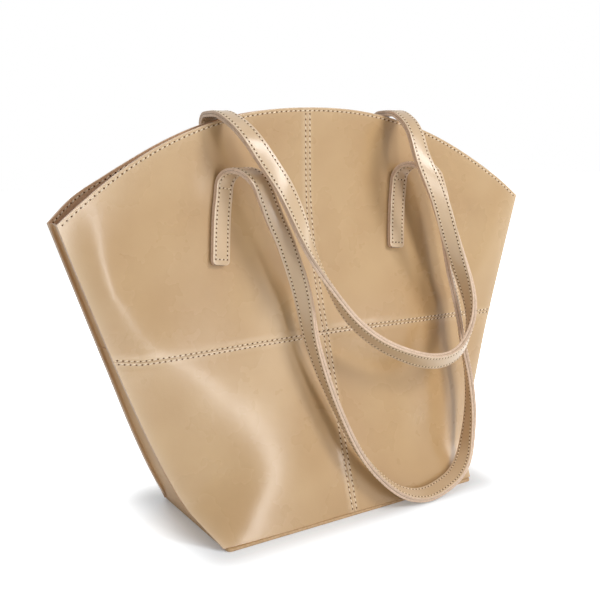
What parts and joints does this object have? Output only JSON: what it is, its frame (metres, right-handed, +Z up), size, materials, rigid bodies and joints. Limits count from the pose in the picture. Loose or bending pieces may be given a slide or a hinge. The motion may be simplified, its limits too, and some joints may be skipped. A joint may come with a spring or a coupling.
{
  "type": "shoulder tote bag",
  "caption": "Unlined leather shoulder tote with an arched open mouth, drawn-in sides and long strap handles that hang in front and lift to carry.",
  "frame": {"origin": "middle of the underside of the base panel, where the bag rests on the floor", "axes": "+X to the right along the front wall, -Y towards the front where the handles hang, +Z up"},
  "size_m": [0.452, 0.1446, 0.34],
  "materials": {
    "body_leather": "smooth waxed honey leather, brown suede inside",
    "strap_leather": "smooth pale tan leather with raw edges",
    "board": "dull brown fibre board"
  },
  "bodies": {
    "bag": {"base_panel": "body_leather", "base_board": "board", "front_lower_left_panel": "body_leather", "front_lower_right_panel": "body_leather", "front_upper_left_panel": "body_leather", "front_upper_right_panel": "body_leather", "back_lower_left_panel": "body_leather", "back_lower_right_panel": "body_leather", "back_upper_left_panel": "body_leather", "back_upper_right_panel": "body_leather", "left_gusset_lower": "body_leather", "left_gusset_upper": "body_leather", "right_gusset_lower": "body_leather", "right_gusset_upper": "body_leather", "front_left_handle_backing": "body_leather", "front_right_handle_backing": "body_leather", "back_left_handle_backing": "body_leather", "back_right_handle_backing": "body_leather", "front_handle_outer_left_end": "strap_leather", "front_handle_outer_right_end": "strap_leather", "front_handle_lining_left_end": "strap_leather", "front_handle_lining_right_end": "strap_leather", "back_handle_outer_left_end": "strap_leather", "back_handle_outer_right_end": "strap_leather", "back_handle_lining_left_end": "strap_leather", "back_handle_lining_right_end": "strap_leather", "front_handle_outer_left_bend": "strap_leather", "front_handle_outer_right_bend": "strap_leather", "front_handle_lining_left_bend": "strap_leather", "front_handle_lining_right_bend": "strap_leather", "back_handle_outer_left_bend": "strap_leather", "back_handle_outer_right_bend": "strap_leather", "back_handle_lining_left_bend": "strap_leather", "back_handle_lining_right_bend": "strap_leather"},
    "front_handle": {"front_handle_outer_loop": "strap_leather", "front_handle_lining_loop": "strap_leather"},
    "back_handle": {"back_handle_outer_loop": "strap_leather", "back_handle_lining_loop": "strap_leather"}
  },
  "joints": [
    {"name": "back_handle_swing", "type": "hinge", "parent": "bag", "child": "back_handle", "pos_m": [-0.0045, -0.0165, 0.32957], "axis": [-1, 0, 0], "range_deg": [0, 167], "deforming": ["back_handle_outer_left_bend", "back_handle_outer_right_bend", "back_handle_lining_left_bend", "back_handle_lining_right_bend"]},
    {"name": "front_handle_swing", "type": "hinge", "parent": "bag", "child": "front_handle", "pos_m": [-0.0045, -0.01558, 0.29205], "axis": [-1, 0, 0], "range_deg": [0, 162], "deforming": ["front_handle_outer_left_bend", "front_handle_outer_right_bend", "front_handle_lining_left_bend", "front_handle_lining_right_bend"]}
  ],
  "couplings": [
    {"joint": "front_handle_swing", "follows": "back_handle_swing", "ratio": 0.97}
  ]
}
